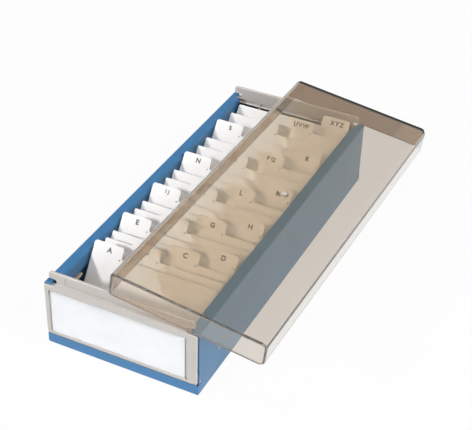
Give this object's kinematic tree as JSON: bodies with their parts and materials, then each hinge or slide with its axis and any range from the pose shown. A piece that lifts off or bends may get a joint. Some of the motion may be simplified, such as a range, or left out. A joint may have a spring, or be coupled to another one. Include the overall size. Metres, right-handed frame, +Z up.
{
  "type": "business card box",
  "caption": "Long blue sheet-steel card tray with grey moulded end panels, leaning index dividers in a grooved rack, and a smoke-clear lid laid across it.",
  "frame": {"origin": "middle of the tray's bottom face", "axes": "+Y along the tray to the rear, +X to the right, +Z up"},
  "size_m": [0.1591, 0.2729, 0.074],
  "materials": {
    "blue_paint": "satin powder coat",
    "grey_plastic": "fine moulded grain",
    "dark_grey_plastic": "fine moulded grain",
    "label_white": "smooth card",
    "divider_white": "smooth sheet",
    "clear_film": "clear gloss",
    "smoke_plastic": "clear smoke-brown gloss"
  },
  "bodies": {
    "box": {"tray": "blue_paint", "front_panel": "grey_plastic", "rear_panel": "grey_plastic", "label_card": "label_white", "label_cover": "clear_film", "card_rack": "dark_grey_plastic"},
    "lid": {"lid": "smoke_plastic"},
    "divider_a": {"divider_a": "divider_white"},
    "divider_b": {"divider_b": "divider_white"},
    "divider_c": {"divider_c": "divider_white"},
    "divider_d": {"divider_d": "divider_white"},
    "divider_e": {"divider_e": "divider_white"},
    "divider_f": {"divider_f": "divider_white"},
    "divider_g": {"divider_g": "divider_white"},
    "divider_h": {"divider_h": "divider_white"},
    "divider_ij": {"divider_ij": "divider_white"},
    "divider_k": {"divider_k": "divider_white"},
    "divider_l": {"divider_l": "divider_white"},
    "divider_m": {"divider_m": "divider_white"},
    "divider_n": {"divider_n": "divider_white"},
    "divider_o": {"divider_o": "divider_white"},
    "divider_pq": {"divider_pq": "divider_white"},
    "divider_r": {"divider_r": "divider_white"},
    "divider_s": {"divider_s": "divider_white"},
    "divider_t": {"divider_t": "divider_white"},
    "divider_uvw": {"divider_uvw": "divider_white"},
    "divider_xyz": {"divider_xyz": "divider_white"}
  },
  "joints": [
    {"name": "lid_lift", "type": "slide", "parent": "box", "child": "lid", "axis": [0, 0, 1], "range_m": [0, 0.1]},
    {"name": "divider_a_tilt", "type": "hinge", "parent": "box", "child": "divider_a", "pos_m": [0, -0.1238, 0.0034], "axis": [1, 0, 0], "range_deg": [0, 12]},
    {"name": "divider_b_tilt", "type": "hinge", "parent": "box", "child": "divider_b", "pos_m": [0, -0.1156, 0.0034], "axis": [1, 0, 0], "range_deg": [0, 1.5]},
    {"name": "divider_c_tilt", "type": "hinge", "parent": "box", "child": "divider_c", "pos_m": [0, -0.10705, 0.0034], "axis": [1, 0, 0], "range_deg": [0, 6.5]},
    {"name": "divider_d_tilt", "type": "hinge", "parent": "box", "child": "divider_d", "pos_m": [0, -0.09817, 0.0034], "axis": [1, 0, 0], "range_deg": [0, 7]},
    {"name": "divider_e_tilt", "type": "hinge", "parent": "box", "child": "divider_e", "pos_m": [0, -0.08894, 0.0034], "axis": [1, 0, 0], "range_deg": [0, 7]},
    {"name": "divider_f_tilt", "type": "hinge", "parent": "box", "child": "divider_f", "pos_m": [0, -0.07938, 0.0034], "axis": [1, 0, 0], "range_deg": [0, 2.5]},
    {"name": "divider_g_tilt", "type": "hinge", "parent": "box", "child": "divider_g", "pos_m": [0, -0.06947, 0.0034], "axis": [1, 0, 0], "range_deg": [0, 7.5]},
    {"name": "divider_h_tilt", "type": "hinge", "parent": "box", "child": "divider_h", "pos_m": [0, -0.05922, 0.0034], "axis": [1, 0, 0], "range_deg": [0, 8]},
    {"name": "divider_ij_tilt", "type": "hinge", "parent": "box", "child": "divider_ij", "pos_m": [0, -0.04863, 0.0034], "axis": [1, 0, 0], "range_deg": [0, 8]},
    {"name": "divider_k_tilt", "type": "hinge", "parent": "box", "child": "divider_k", "pos_m": [0, -0.03771, 0.0034], "axis": [1, 0, 0], "range_deg": [0, 3.5]},
    {"name": "divider_l_tilt", "type": "hinge", "parent": "box", "child": "divider_l", "pos_m": [0, -0.02644, 0.0034], "axis": [1, 0, 0], "range_deg": [0, 8.5]},
    {"name": "divider_m_tilt", "type": "hinge", "parent": "box", "child": "divider_m", "pos_m": [0, -0.01483, 0.0034], "axis": [1, 0, 0], "range_deg": [0, 9]},
    {"name": "divider_n_tilt", "type": "hinge", "parent": "box", "child": "divider_n", "pos_m": [0, -0.00288, 0.0034], "axis": [1, 0, 0], "range_deg": [0, 9]},
    {"name": "divider_o_tilt", "type": "hinge", "parent": "box", "child": "divider_o", "pos_m": [0, 0.00941, 0.0034], "axis": [1, 0, 0], "range_deg": [0, 4.5]},
    {"name": "divider_pq_tilt", "type": "hinge", "parent": "box", "child": "divider_pq", "pos_m": [0, 0.02204, 0.0034], "axis": [1, 0, 0], "range_deg": [0, 9.5]},
    {"name": "divider_r_tilt", "type": "hinge", "parent": "box", "child": "divider_r", "pos_m": [0, 0.03501, 0.0034], "axis": [1, 0, 0], "range_deg": [0, 10]},
    {"name": "divider_s_tilt", "type": "hinge", "parent": "box", "child": "divider_s", "pos_m": [0, 0.04832, 0.0034], "axis": [1, 0, 0], "range_deg": [0, 10]},
    {"name": "divider_t_tilt", "type": "hinge", "parent": "box", "child": "divider_t", "pos_m": [0, 0.06197, 0.0034], "axis": [1, 0, 0], "range_deg": [0, 5.5]},
    {"name": "divider_uvw_tilt", "type": "hinge", "parent": "box", "child": "divider_uvw", "pos_m": [0, 0.07596, 0.0034], "axis": [1, 0, 0], "range_deg": [0, 10.5]},
    {"name": "divider_xyz_tilt", "type": "hinge", "parent": "box", "child": "divider_xyz", "pos_m": [0, 0.0903, 0.0034], "axis": [1, 0, 0], "range_deg": [0, 11]}
  ]
}
